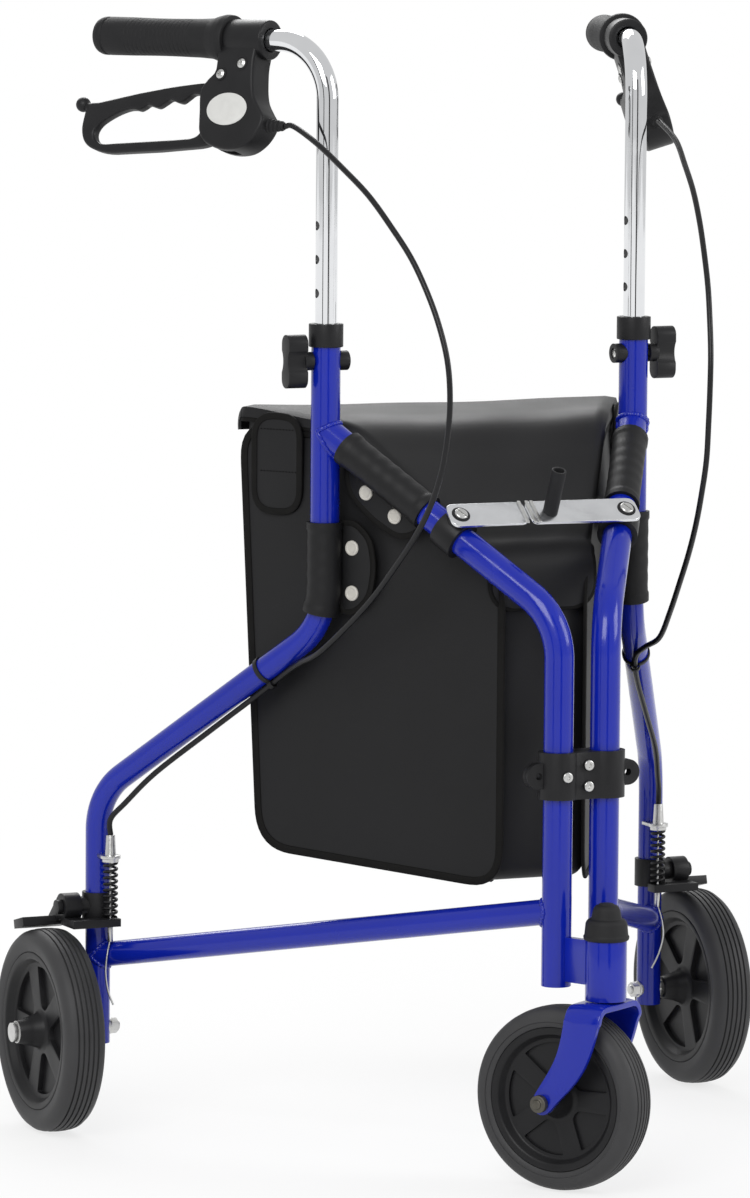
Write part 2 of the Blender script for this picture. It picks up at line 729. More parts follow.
on_edge = Matrix.Rotation(pi / 2, 4, "X")
housing_screws = [(0.078, -0.025), (0.0985, -0.035)]
housing_screw = {"head_r": 0.0044, "head_h": 0.0022, "socket_r": 0.002}
seat_deep = 0.0002
slot_points = box_outline(0.072, 0.132, -0.124, -0.028)
bore_section = [(0.03, 0), (0.03, handle_r), (0.3, handle_r), (0.3, 0)]
clamp_section = [(0.0615, 0.0100), (0.0615, 0.0172), (0.1018, 0.0172), (0.1018, 0.0100)]
cup_section = [(-0.001, 0.0062), (0.0008, 0.0062), (0.0008, 0.0049), (-0.001, 0.0049)]
boot_base = 0.0495
boot_r = 0.0068
rib_count = 5
rib_pitch = 0.0042
rib_taper = 0.0006
boot_ribs = [(boot_base, 0.0)]
for rib in range(rib_count):
    rib_at = boot_base - rib_pitch * rib
    rib_r = boot_r - rib_taper * rib
    boot_ribs += [(rib_at, rib_r), (rib_at - 0.0026, rib_r), (rib_at - 0.0031, rib_r - 0.001)]
boot_ribs += [(boot_along + 0.0003, 0.0034), (boot_along, 0.0026), (boot_along, 0.0)]
blank_plate = clouded("blank white plate", "black_plastic", (0.62, 0.62, 0.60), 0.4, (120,),
                      (0.56, 0.56, 0.54), (0.68, 0.68, 0.66), (0.32, 0.2))
for side in sides:
    body = side + "_handle"
    brake_plane = at_brake(side) @ on_edge
    tube_place = at_handle(side) @ along_handle
    outline = smooth_outline(housing_outline)
    housing = plate(side + "_housing", outline, housing_w, brake_plane, 0.0032, 4, 50)
    carve(housing, plate("slot", slot_points, lever_slot, brake_plane))
    carve(housing, turned("bore", bore_section, tube_place, 48))
    settle(smooth(housing, 40), body, moulded, side + "_brake_housing")
    clamp_loop = rounded_loop(clamp_section, 0.0016, 3)
    settle(turned(side + "_housing_clamp", clamp_loop, tube_place, 64, closed=True), body, moulded)
    for face, way in (("outer", sides[side]), ("inner", -sides[side])):
        flank = way * (housing_w / 2 - seat_deep)
        toward = Matrix.Rotation(0 if way > 0 else pi, 4, "X")
        if face == "outer":
            badge_place = brake_plane @ Matrix.Translation((0, 0, flank))
            badge_loop = oval(badge_centre, *badge_r)
            badge = plate(side + "_blank_badge", badge_loop, 0.0016, badge_place, 0.0005)
            settle(badge, body, blank_plate)
        for number, seat in enumerate(housing_screws):
            seat_place = brake_plane @ Matrix.Translation((*seat, flank)) @ toward
            cup_name = f"{side}_{face}_cup_{number}"
            cup = turned(cup_name, rounded_profile(cup_section, 0.0004, 2), seat_place, 40)
            settle(cup, body, moulded)
            head = screw_head(f"{side}_{face}_screw_{number}", seat_place, **housing_screw)
            settle(head, body, zinc)
    boot_place = at_brake(side) @ Matrix.Translation((0, 0, boot_z)) @ along_handle
    boot = turned(side + "_cable_boot", rounded_profile(boot_ribs, 0.0006, 2), boot_place, 40)
    settle(boot, body, rubber)

# Brake levers
# Moulded loop levers pivot in the housings. The upper bar has finger grooves below, the lower bar is a thin
# strap, and a small ball stands at the loop's end.
lever_w = 0.0100
lever_outer = [
    (0.088, -0.060), (0.097, -0.050), (0.108, -0.044), (0.118, -0.041), (0.134, -0.0423), (0.162, -0.0465),
    (0.191, -0.052), (0.218, -0.058), (0.234, -0.0615), (0.243, -0.0625), (0.2465, -0.068), (0.2475, -0.076),
    (0.247, -0.087), (0.242, -0.097), (0.232, -0.1032), (0.213, -0.1067), (0.185, -0.105), (0.158, -0.1030),
    (0.130, -0.100), (0.110, -0.0975), (0.098, -0.092), (0.088, -0.078)]
lever_inner = [
    (0.1185, -0.057), (0.122, -0.0525), (0.1316, -0.0512), (0.138, -0.0555), (0.1436, -0.0592),
    (0.150, -0.0584), (0.156, -0.0570), (0.162, -0.0606), (0.1682, -0.0642), (0.174, -0.0634),
    (0.1795, -0.0624), (0.184, -0.0652), (0.1885, -0.0672), (0.194, -0.0666), (0.202, -0.0674),
    (0.214, -0.072), (0.2265, -0.0795), (0.2315, -0.0855), (0.232, -0.091), (0.228, -0.0965),
    (0.2195, -0.0988), (0.200, -0.0972), (0.1606, -0.0941), (0.135, -0.092), (0.122, -0.090),
    (0.1155, -0.085), (0.1145, -0.075), (0.116, -0.065)]
ball_centre = (0.254, -0.0632)
ball_r = 0.0066
ball_lean = radians(-73)
ball_turn = Matrix.Rotation(ball_lean, 4, "Z") @ Matrix.Rotation(pi / 2, 4, "X")
ball_steps = [step * pi / 16 for step in range(14)]
ball_profile = [(-ball_r * cos(t), ball_r * sin(t)) for t in ball_steps]
ball_profile += [(0.0125, 0.0046), (0.0125, 0.0)]
lever_pivot = (0.096, -0.072)
pin_section = [(-0.0124, 0), (-0.0124, 0.003), (0.0124, 0.003), (0.0124, 0)]
for side in sides:
    brake_plane = at_brake(side) @ on_edge
    lever = plate(side + "_loop_lever", smooth_outline(lever_outer, 4), lever_w, brake_plane,
                  0.0026, 4, 50, [smooth_outline(lever_inner, 4)])
    settle(lever, side + "_lever", moulded, side + "_brake_lever")
    ball_place = brake_plane @ Matrix.Translation((*ball_centre, 0)) @ ball_turn
    settle(turned(side + "_lever_ball", ball_profile, ball_place, 40), side + "_lever", moulded)
    pin_place = brake_plane @ Matrix.Translation((*lever_pivot, 0))
    pin = turned(side + "_lever_pin", rounded_profile(pin_section, 0.0004, 2), pin_place, 32)
    settle(pin, side + "_handle", zinc)

# Tyres
# Grey black moulded tyres are pressed on the hubs. Fine grooves run round the tread, and the sidewalls
# slope in to the rim.
tyre_rubber = clouded("tyre rubber", "tyre", (0.040, 0.040, 0.041), 0.55, (40, 5), (0.032, 0.032, 0.033),
                      (0.050, 0.050, 0.052), (0.42, 0.24), (1500, 2), (0.25, 0.0002), gloss=0.3)
rear_r = 0.090
front_r = 0.079
rear_wall = 0.020
front_wall = 0.017
wheel_out = 0.045
groove_pitch = 0.0046
groove_top = 0.0009
groove_foot = 0.0005
groove_deep = 0.0015
tread_fall = 0.0008


def mirrored(section):
    """The other half of a section, in the order that leads up to it."""
    return [(-along, out) for along, out in reversed(section)]


def tyre_section(radius, rim):
    """The tyre's closed section, as (along, radius) pairs."""
    tread = []
    for groove in range(-2, 3):
        middle = groove * groove_pitch
        top = radius - tread_fall * (groove / 2) ** 2
        tread += [(middle - groove_top, top), (middle - groove_foot, top - groove_deep),
                  (middle + groove_foot, top - groove_deep), (middle + groove_top, top)]
    wall = [(0.0132, radius - 0.0016), (0.0166, radius - 0.0042), (0.0186, radius - 0.0088),
            (0.0190, radius - 0.0122), (0.0180, rim + 0.0042), (0.0176, rim + 0.0012), (0.0166, rim)]
    return [*mirrored(wall), *tread, *wall]


wheel_places = {}
wheel_sizes = {}
for side in sides:
    outward = Vector((sides[side], 0, 0))
    wheel_places[side] = facing(in_frame(side, leg_run, 0, rear_r) + outward * wheel_out, outward)
    wheel_sizes[side] = (rear_r, rear_r - rear_wall)
front_joint = joints["front_wheel_spin"]
wheel_places["front"] = facing(Vector(front_joint["pos_m"]), Vector(front_joint["axis"]))
wheel_sizes["front"] = (front_r, front_r - front_wall)
for wheel, (radius, rim) in wheel_sizes.items():
    tyre = turned(wheel + "_ribbed_tyre", tyre_section(radius, rim), wheel_places[wheel], 128, True, 50)
    settle(tyre, wheel + "_wheel", tyre_rubber, wheel + "_tyre")

# Hubs
# Moulded black hubs: a flat web with five pockets on each side, a conical boss and a raised rim. The rear
# pockets are deep and leave five ribs; the front ones are shallow.
hub_half = 0.032
hub_bore = 0.00408
web_half = 0.0095
pocket_in = 0.021
pocket_swing = (radians(12), radians(25))
pocket_depths = {"left": 0.0045, "right": 0.0045, "front": 0.0030}
pocket_count = 5
pocket_rim = 0.0135
pocket_corner = 0.0045


def pocket_outline(rim, turn):
    """One pocket between two ribs, about the wheel's axis."""
    far = rim - pocket_rim
    near_swing, far_swing = pocket_swing
    outer = [turn + far_swing * (step / 6 - 1) for step in range(13)]
    points = [(far * cos(t), far * sin(t)) for t in outer]
    for t in (turn + near_swing, turn - near_swing):
        points.append((pocket_in * cos(t), pocket_in * sin(t)))
    return rounded_loop(points, pocket_corner)


for wheel, (radius, rim) in wheel_sizes.items():
    half_section = [(hub_half, hub_bore), (hub_half, 0.0100), (0.020, 0.0128), (0.0112, 0.0160),
                    (web_half, 0.0186), (web_half, rim - 0.0105), (0.0165, rim - 0.0062),
                    (0.0172, rim - 0.0001)]
    section = rounded_profile([*half_section, *mirrored(half_section)], 0.0016, 3)
    hub = turned(wheel + "_moulded_hub", section, Matrix.Identity(4), 96, closed=True, sharp=45)
    depth = pocket_depths[wheel]
    for pocket in range(2 * pocket_count):
        level = Matrix.Translation((0, 0, web_half if pocket < pocket_count else -web_half))
        turn = 2 * pi * pocket / pocket_count
        carve(hub, plate("pocket", pocket_outline(rim, turn), 2 * depth, level))
    smooth(soften(hub, 0.0006, 2, 55), 40)
    hub.data.transform(wheel_places[wheel])
    settle(hub, wheel + "_wheel", moulded, wheel + "_hub")

# Rear axles
# Plated bolts run through the hubs to the rear legs. A bright bearing ring and a domed head show in each
# boss, and a sleeve and a lock nut hold the leg.
ring_section = [(0.0, 0.0084), (0.0009, 0.0086), (0.0013, 0.0093), (0.0009, 0.0099), (0.0, 0.0099)]
for side in sides:
    dress(side + "_axle", side + "_frame", zinc, 0.0008, 3)
    ring_seat = wheel_places[side] @ Matrix.Translation((0, 0, hub_half - 0.0004))
    bearing = turned(side + "_bearing_ring", ring_section, ring_seat, 64, closed=True)
    settle(bearing, side + "_wheel", zinc)

# Caster fork
# A pressed steel fork under the same blue enamel: a broad crown below the head tube and two legs that sweep
# back and narrow to the axle.
caster_joint = joints["caster_swivel"]
caster_turn = atan2(front_joint["axis"][1], front_joint["axis"][0])
caster_base = Vector((caster_joint["pos_m"][0], caster_joint["pos_m"][1], 0))
caster_place = Matrix.Translation(caster_base) @ Matrix.Rotation(caster_turn, 4, "Z")
fork_x = 0.0355
fork_t = 0.005
crown_z = 0.1630
crown_y = 0.0022
crown_corner = 0.013
crown_half = 0.0180
corner_half = 0.0170
trail = 0.040
fork_stations = [
    (trail + 0.0055, front_r - 0.0082, 0.0040), (trail + 0.0045, front_r - 0.0066, 0.0072),
    (trail + 0.0025, front_r - 0.0037, 0.0092), (trail, front_r, 0.0100), (0.0325, 0.0890, 0.0108),
    (0.0225, 0.1010, 0.0126), (0.0135, 0.1150, 0.0142), (0.0085, 0.1290, 0.0152), (0.0055, 0.1400, 0.0158),
    (0.0035, 0.1500, 0.0164)]


def strip_faces(rows, size, round_rows=True, round_ends=False, capped=False):
    """Four sided faces between rows of points, with a cap on the first and last row if asked for."""
    faces = []
    for row in range(rows if round_ends else rows - 1):
        here = row * size
        there = (row + 1) % rows * size
        for k in range(size if round_rows else size - 1):
            after = (k + 1) % size
            faces.append((here + k, here + after, there + after, there + k))
    if capped:
        faces += [tuple(range(size)), tuple(rows * size - 1 - k for k in range(size))]
    return faces


fork_lip = 0.0016
fork_section = [(-1, 1), (-0.45, 1), (0.45, 1), (1, 1), (1, -1), (0.45, -1), (-0.45, -1), (-1, -1)]
fork_rows = []
for index, (y, z, half) in enumerate(fork_stations):
    before = Vector(fork_stations[max(index - 1, 0)][:2])
    after = Vector(fork_stations[min(index + 1, len(fork_stations) - 1)][:2])
    way = (after - before).normalized()
    fork_rows.append((Vector((fork_x, y, z)), Vector((0, way.y, -way.x)), half, Vector((1, 0, 0))))
crown_way = Vector((0, 1, 0))
for step in range(7):
    angle = pi / 2 * step / 6
    out = Vector((cos(angle), 0, sin(angle)))
    spot = Vector((fork_x - crown_corner, crown_y, crown_z - crown_corner)) + out * crown_corner
    fork_rows.append((spot, crown_way, corner_half, out))
fork_rows.append((Vector((0, crown_y, crown_z)), crown_way, crown_half, Vector((0, 0, 1))))
flip = Matrix.Diagonal((-1, 1, 1))
fork_rows += [(flip @ spot, way, half, flip @ out) for spot, way, half, out in reversed(fork_rows[:-1])]
fork_verts = []
for middle, width, half, out in fork_rows:
    for across, lift in fork_section:
        lip = -fork_lip if abs(across) == 1 else 0
        fork_verts.append(middle + width * half * across + out * (lift * fork_t / 2 + lip))
fork_faces = strip_faces(len(fork_rows), len(fork_section), capped=True)
fork = closed_mesh(mesh_piece("swept_fork", fork_verts, [], fork_faces))
soften(fork, 0.0012, 3, 50)
modify(fork, "SUBSURF", levels=2, render_levels=2)
bpy.ops.object.shade_smooth()
fork.data.transform(caster_place)
settle(fork, "caster", enamel, "caster_fork")
dress("caster_stem", "caster", zinc, 0.0005)

# Front axle
# A dark plated steel bolt with domed heads outside the fork. It runs through the front hub and turns with
# the wheel.
dark_bolt = clouded("dark plated bolt", "zinc", (0.10, 0.095, 0.08), 0.4, (220, 4), (0.07, 0.066, 0.055),
                    (0.14, 0.13, 0.11), (0.32, 0.2), metallic=0.8)
dress("front_axle", "front_wheel", dark_bolt, 0.0024, 4)

# Head tube cap and bushes
# A stepped black rubber cap is pushed over the stem's nut. Below it plastic bushes are pressed in the head
# tube.
head_top_z = 0.217
head_top = Matrix.Translation(caster_base + Vector((0, 0, head_top_z)))
cap_section = [(0.0, 0.0), (0.0, 0.0190), (0.0034, 0.0196), (0.0045, 0.0186), (0.0150, 0.0176),
               (0.0176, 0.0158), (0.0182, 0.0132), (0.0200, 0.0126), (0.0265, 0.0114), (0.0295, 0.0092),
               (0.0300, 0.0066), (0.0312, 0.0060), (0.0314, 0.0)]
cap = turned("head_cap", rounded_profile(cap_section, 0.0016, 4), head_top, 64)
settle(cap, "left_frame", rubber, "caster_cap")
dress("caster_bushes", "left_frame", moulded, 0.0004)

# Hinge clamp
# A two part moulded clamp with rounded ears holds both front tubes; the right one turns in it. Three plated
# button screws draw it together, and the ears' holes are free.
dress("hinge_clamp", "left_frame", moulded, 0.0014, 3, 40)
clamp_bolts = skin("hinge_screws", 0.0012, 3)
socket_r = 0.0021
socket_deep = 0.0036
clamp_screws = [(0, 0.343, 0.016), (0, 0.361, 0.016), (-tube_half_gap, clamp_z, 0.0202)]
for x, z, proud in clamp_screws:
    socket_place = facing(Vector((x, front_y - proud, z)), Vector((0, -1, 0)))
    carve(clamp_bolts, plate("socket", oval((0, 0), socket_r, socket_r, 6), socket_deep, socket_place))
settle(smooth(clamp_bolts, 35), "left_frame", zinc, "hinge_screws")

# Folding strut
# Two bright chromed bars, hinged at a knuckle, hold the side frames apart. A slotted screw fixes each end to
# a black ring on the diagonal tube, and a hollow rubber post for pulling stands on the right bar.
strut_run = 0.107
strut_lift = 0.020
strut_t = 0.003
strut_w = 0.026
strut_slope = radians(40)
diagonal_rise = (junction_z - corner_z) / upright_run
strut_z = corner_z + strut_run * diagonal_rise
strut_middle = Vector((0, in_frame("left", strut_run, 0, 0).y, strut_z))
strut_place = Matrix.Translation(strut_middle) @ Matrix.Rotation(strut_slope, 4, "X")
strut_end = 0.011
knuckle_x = -0.016
knuckle_gap = 0.0003
knuckle_leaves = {"left": [-0.0200], "right": [-0.0128, -0.0082]}
washer_section = [(-0.0002, 0.0082), (0.0006, 0.0082), (0.0006, 0.0), (-0.0002, 0.0)]
head_section = [(0.0, 0.0), (0.0, 0.0058), (0.0015, 0.0060), (0.0025, 0.0050), (0.0025, 0.0)]
slot_outline = box_outline(-0.0007, 0.0007, -0.007, 0.007)
slot_turn = Matrix.Translation((0, 0, 0.0025)) @ Matrix.Rotation(radians(35), 4, "Z")
leaf_half = 0.0016
leaf_t = 0.0014
bright = clouded("bright plated steel", "chrome", (0.74, 0.75, 0.77), 0.2, (60, 4), (0.66, 0.67, 0.69),
                 (0.80, 0.81, 0.83), (0.14, 0.16), metallic=1.0)


def strut_board(name, low_x, high_x, level, thickness, corner):
    """A flat board across the strut's slope with rounded corners."""
    outline = rounded_loop(box_outline(low_x, high_x, -strut_w / 2, strut_w / 2), corner, 6)
    place = strut_place @ Matrix.Translation((0, 0, level + thickness / 2))
    return plate(name, outline, thickness, place, min(0.0006, thickness * 0.4))


for side in sides:
    body = side + "_strut"
    dress(side + "_strut_ring", side + "_frame", moulded, 0.001, 3, 40)
    screw_x = in_frame(side, strut_run, 0, 0).x
    bar_ends = sorted((screw_x + sides[side] * strut_end, knuckle_x + sides[side] * knuckle_gap))
    bar = strut_board(side + "_bright_bar", *bar_ends, strut_lift, strut_t, 0.008)
    settle(bar, body, bright, side + "_strut_bar")
    head_place = strut_place @ Matrix.Translation((screw_x, 0, strut_lift + strut_t))
    washer = turned(side + "_strut_washer", rounded_profile(washer_section, 0.0003, 2), head_place, 48)
    settle(washer, body, moulded)
    screw = turned(side + "_strut_screw", rounded_profile(head_section, 0.0006, 3), head_place, 48)
    carve(screw, plate("slot", slot_outline, 0.0028, head_place @ slot_turn))
    settle(smooth(screw, 35), body, zinc)
    for number, x in enumerate(knuckle_leaves[side]):
        leaf_name = f"{side}_knuckle_leaf_{number}"
        leaf_level = strut_lift + strut_t - 0.0002
        leaf = strut_board(leaf_name, x - leaf_half, x + leaf_half, leaf_level, leaf_t, 0.0008)
        settle(leaf, body, zinc)
dress("strut_post", "right_strut", rubber, 0.0008, 3)

# Rear brakes
# Black brackets are clamped to the rear legs. An arm with a flat pad hangs over each tyre; a spring holds it
# up and the cable's inner wire draws it down, past a plated stop at the bracket's top.
spring_wire = 0.0026
spring_r = 0.0056
spring_low = 0.1904
spring_high = 0.2396
spring_turns = 9
spring_steps = 24
for side in sides:
    dress(side + "_brake_bracket", side + "_frame", moulded, 0.0012, 3)
    dress(side + "_brake_arm", side + "_brake", moulded, 0.0014, 3)
    dress(side + "_cable_stop", side + "_frame", zinc, 0.0006)
    dress(side + "_brake_wire", side + "_brake", zinc, 0.0003, 2, 50)
    spring_foot = in_frame(side, leg_run, 0, 0) + Vector((-sides[side] * cable_in, -cable_front, 0))
    coil = []
    for step in range(spring_turns * spring_steps + 1):
        share = step / (spring_turns * spring_steps)
        angle = 2 * pi * spring_turns * share
        rise = spring_low + (spring_high - spring_low) * share
        coil.append(spring_foot + Vector((spring_r * cos(angle), spring_r * sin(angle), rise)))
    spring = round_bar(side + "_return_spring", coil, spring_wire / 2, roundness=3)
    settle(spring, side + "_frame", sheath, side + "_brake_spring", slot="zinc")
    side + "_brake_pivot"
    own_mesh(spring)

# Cable ties
# A black moulded tie holds each cable under its rear leg. It is looped round both and stays with the frame.
for side in sides:
    dress(side + "_cable_tie", side + "_frame", moulded, 0.0004)

# Bag
# A soft bag of coated black cloth hangs between the side frames. It is sewn from panels that sag and bulge a
# little, and its side panels' seams are bound with woven tape. It bends as the frames fold.
vinyl = clouded("coated black cloth", "vinyl", (0.010, 0.010, 0.011), 0.5, (14, 4), (0.0085, 0.0085, 0.009),
                (0.013, 0.013, 0.014), (0.42, 0.16), (1700, 2), (0.3, 0.0003), gloss=0.22)
tape, tape_shade, tape_shader = finish_of("woven tape", "vinyl", (0.005, 0.005, 0.0048), 0.7, gloss=0.15)
tape_cloud = object_noise(tape_shade, 60, 3)
tape_weave = object_noise(tape_shade, 1200, 3)
drive(tape_shade, tape_shader, (tape_weave, (0.003, 0.003, 0.0028), (0.009, 0.0085, 0.008)),
      0.6 + 0.25 * tape_cloud, tape_weave, 0.6, 0.0005)
bag_in = 0.025
bag_r = 0.012
bag_low = 0.2565
bag_tilt = 0.065
bag_sag = 0.006
bag_lean = 0.014
bag_round = 0.016
bag_front = -0.1065
bag_back = 0.0970
bag_narrow = 0.06
bag_bulge = 0.0052
mouth_in = 0.0030
crease_deep = 0.0009
bag_corners = [(-0.0378, bag_front), (-0.1649, bag_back), (0.1649, bag_back), (0.0378, bag_front)]
rim_profile = [(bag_front, 0.530), (0.0003, 0.626), (bag_back, 0.638)]
floor_middle = Vector((0, 0.030))
cloth_t = 0.0018


def rim_height(y):
    """The mouth's height at a distance from front to back."""
    (y0, z0), (y1, z1), (y2, z2) = rim_profile
    if y < y1:
        return z0 + (z1 - z0) * max(0, (y - y0) / (y1 - y0))
    return z1 + (z2 - z1) * min(1, (y - y1) / (y2 - y1))


def floor_height(y):
    """The floor's height at a distance from front to back."""
    return bag_low + bag_tilt * y


def drawn_in(spot, height):
    """Moves a point of the bag's plan forwards, the more the lower and the further back it is."""
    draw = (spot.y - bag_front) / (bag_back - bag_front) * (1 - height)
    return Vector((spot.x * (1 - bag_narrow * draw), spot.y - bag_lean * draw))


def bag_outline(turn_steps=6, edge_steps=18):
    """Points round the bag's plan, with each one's way out and how slack the cloth is there."""
    around = []
    corners = [Vector(corner) for corner in bag_corners]
    for i, corner in enumerate(corners):
        before = (corner - corners[i - 1]).normalized()
        after = (corners[(i + 1) % 4] - corner).normalized()
        way_in = Vector((-before.y, before.x))
        way_out = Vector((-after.y, after.x))
        for step in range(turn_steps):
            way = way_in.lerp(way_out, step / turn_steps).normalized()
            around.append((corner + way * bag_r, way, 0.0))
        for step in range(edge_steps):
            share = step / edge_steps
            around.append((corner.lerp(corners[(i + 1) % 4], share) + way_out * bag_r, way_out,
                           sin(pi * share)))
    return around


def bag_rings():
    """Rings of points from the bag's floor to its mouth, with the sag of empty cloth."""
    around = bag_outline()
    rings = []
    for step in range(1, 6):
        share = step / 6
        sag = bag_sag * (1 - share ** 2)
        ring = [floor_middle.lerp(drawn_in(spot - way * bag_round, 0), share) for spot, way, _ in around]
        rings.append([(*place, floor_height(place.y) - sag) for place in ring])
    for step in range(7):
        angle = pi / 2 * step / 6
        inset = bag_round * (1 - sin(angle))
        rise = bag_round * (1 - cos(angle))
        ring = [drawn_in(spot - way * inset, 0) for spot, way, _ in around]
        rings.append([(*place, floor_height(place.y) + rise) for place in ring])
    for step in range(1, 25):
        ring = []
        for number, (spot, way, slack) in enumerate(around):
            foot = floor_height(spot.y) + bag_round
            height = step / 24
            bulge = slack * (bag_bulge * sin(pi * height) ** 0.8 - mouth_in * height ** 6)
            ripple = sin(0.55 * number + 4 * height) * sin(2 * pi * height)
            place = drawn_in(spot + way * (bulge + crease_deep * slack * ripple), height)
            ring.append((*place, foot + height * (rim_height(spot.y) - foot)))
        rings.append(ring)
    return rings


def skin_rings(name, rings, tip=None):
    """A smooth sheet through rings of points, closed by a tip below the first ring."""
    count = len(rings[0])
    verts = [place for ring in rings for place in ring]
    faces = strip_faces(len(rings), count)
    if tip:
        verts.append(tip)
        faces += [(len(verts) - 1, (k + 1) % count, k) for k in range(count)]
    return closed_mesh(mesh_piece(name, verts, [], faces))


def thicken(piece, thickness):
    """Gives a sheet a thickness on its inner side."""
    return smooth(modify(piece, "SOLIDIFY", thickness=thickness, offset=-1), 50)


def folds(piece, material, *nodes):
    """Settles a piece that bends with the bag as the frames fold."""
    settle(piece, None, material, *nodes)
    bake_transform(piece)
    return piece


floor_tip = (*floor_middle, floor_height(floor_middle.y) - bag_sag)
bag = modify(skin_rings("soft_bag", bag_rings(), floor_tip), "SUBSURF", levels=1, render_levels=1)
folds(thicken(bag, cloth_t), vinyl, "bag")


def ribbon(name, line, ways, width, thickness, closed=False):
    """A flat woven tape along a line, lying square to the ways given."""
    count = len(line)
    section = []
    for step in range(12):
        angle = 2 * pi * step / 12
        x, y = cos(angle), sin(angle)
        section.append((copysign(abs(x) ** 0.4, x) * width / 2,
                        copysign(abs(y) ** 0.6, y) * thickness / 2))
    verts = []
    for i, place in enumerate(line):
        ahead = line[(i + 1) % count] if closed or i < count - 1 else place
        behind = line[i - 1] if closed or i > 0 else place
        across = (ahead - behind).cross(ways[i]).normalized()
        way = ways[i].normalized()
        verts += [place + across * x + way * y for x, y in section]
    faces = strip_faces(count, len(section), round_ends=closed, capped=not closed)
    return smooth(closed_mesh(mesh_piece(name, verts, [], faces)), 60)


def stitches(name, line, ways, pitch=0.0032, length=0.0023, thickness=0.0007):
    """A row of short thread stitches along a line."""
    verts = []
    faces = []
    places = spaced(line, pitch)
    for i, place in enumerate(places[:-1]):
        ahead = (places[i + 1] - place).normalized()
        way = ways[min(len(ways) - 1, round(i * (len(ways) - 1) / (len(places) - 1)))].normalized()
        across = ahead.cross(way)
        first = len(verts)
        verts += [place - ahead * length / 2, place + ahead * length / 2]
        verts += [place + side_way * thickness for side_way in (across, way, -across, -way)]
        for k in range(first + 2, first + 6):
            after = k + 1 if k < first + 5 else first + 2
            faces += [(first, k, after), (first + 1, after, k)]
    piece = closed_mesh(mesh_piece(name, verts, [], faces))
    bpy.ops.object.shade_smooth()
    return piece


def outward_of(side):
    """The way out from a side frame."""
    return in_frame(side, 0, 1, 0) - in_frame(side, 0, 0, 0)


panel_steps = 9
panel_bulge = 0.0072
panel_lift = 0.0006
panel_corner = 0.032
tape_w = 0.0072
tape_t = 0.0030
panel_edge = [(0.073, 0.248), (0.320, 0.263), (0.340, 0.632), (0.214, 0.620), (0.073, 0.516)]
for side in sides:
    way = outward_of(side)
    panel_loop = rounded_loop(panel_edge, panel_corner, 8)
    edge_loop = [in_frame(side, s, panel_lift - bag_in, z) for s, z in panel_loop]
    edge_line = spaced(edge_loop, 0.006, closed=True)
    middle = sum(edge_line, Vector()) / len(edge_line)
    panel_rings = []
    for step in range(1, panel_steps + 1):
        share = step / panel_steps
        swell = way * panel_bulge * (1 - share ** 2)
        panel_rings.append([middle.lerp(spot, share) + swell for spot in edge_line])
    side_panel = skin_rings(side + "_side_panel", panel_rings, middle + way * panel_bulge)
    folds(thicken(side_panel, cloth_t), vinyl)
    panel_ways = [way] * len(edge_line)
    folds(ribbon(side + "_panel_tape", edge_line, panel_ways, tape_w, tape_t, True), tape)

# Flap
# One piece of the same cloth covers the bag's mouth. It is sewn along the back, lies on the rim, turns down
# a little at the sides and hangs over the front with round corners. Stitched tape binds its edge.
flap_profile = [
    (0.1120, 0.625), (0.1122, 0.632), (0.1080, 0.6405), (0.0960, 0.6452), (0.0500, 0.6415), (0.0080, 0.6350),
    (-0.0250, 0.6110), (-0.0650, 0.5755), (-0.0980, 0.5465), (-0.1130, 0.5365), (-0.1215, 0.5240),
    (-0.1235, 0.5050), (-0.1240, 0.4860)]
flap_pitch = 0.003
flap_line = spaced(smooth_line([(0, y, z) for y, z in flap_profile], 8), flap_pitch)
flap_length = sum((b - a).length for a, b in zip(flap_line, flap_line[1:]))
flap_turn = 0.006
flap_skirt = 0.003
flap_corner = 0.020
flap_columns = 44
flap_t = 0.0022
flap_sewn = 0.02
flap_half = 0.0545
flap_flare = 0.6246
flap_sag = 0.0045
flap_ripple = 0.0008
hang_start = 0.075
hang_over = 0.030
hang_in = 0.006
edge_gap = 0.0008
seam_inset = 0.010
stitch_lift = 0.0004
middle_half = 0.10


def flap_spot(run, share):
    """A point of the flap, a distance from its back edge and at a share of its half width."""
    place = min(max(run / flap_length, 0), 0.99999) * (len(flap_line) - 1)
    row = int(place)
    spot = flap_line[row].lerp(flap_line[row + 1], place - row)
    ahead = (flap_line[row + 1] - flap_line[row]).normalized()
    out = ahead.cross(Vector((1, 0, 0)))
    half = flap_half + (min(max(spot.y, -0.107), bag_back) - bag_front) * flap_flare
    left = flap_length - run
    hang = min(1, max(0, (hang_start - left) / hang_over))
    half -= hang_in * hang
    if left < flap_corner:
        half -= flap_corner - sqrt(max(flap_corner ** 2 - (flap_corner - left) ** 2, 0))
    reach = half + (flap_turn * (pi / 2 - 1) + flap_skirt) * (1 - hang)
    across = abs(share) * reach
    straight = half - flap_turn
    angle = min(max((across - straight) / flap_turn, 0), pi / 2)
    turned_x = min(across, straight) + flap_turn * sin(angle)
    fall = flap_turn * (1 - cos(angle)) + max(0, across - straight - flap_turn * pi / 2)
    x = turned_x * (1 - hang) + across * hang
    sag = flap_sag * (1 - share ** 2) * sin(pi * min(run / (flap_length - 0.06), 1)) ** 0.7
    ripple = flap_ripple * sin(46 * run + 3 * share) * sin(5 * share + 9 * run)
    drop = fall * (1 - hang) + sag + ripple * (1 - hang)
    return Vector((copysign(x, share), spot.y, spot.z)) - out * drop


def flap_way(run, share):
    """The flap's way out at a point."""
    ahead = flap_spot(run + 0.002, share) - flap_spot(run - 0.002, share)
    across = flap_spot(run, share + 0.01) - flap_spot(run, share - 0.01)
    return ahead.cross(across).normalized()


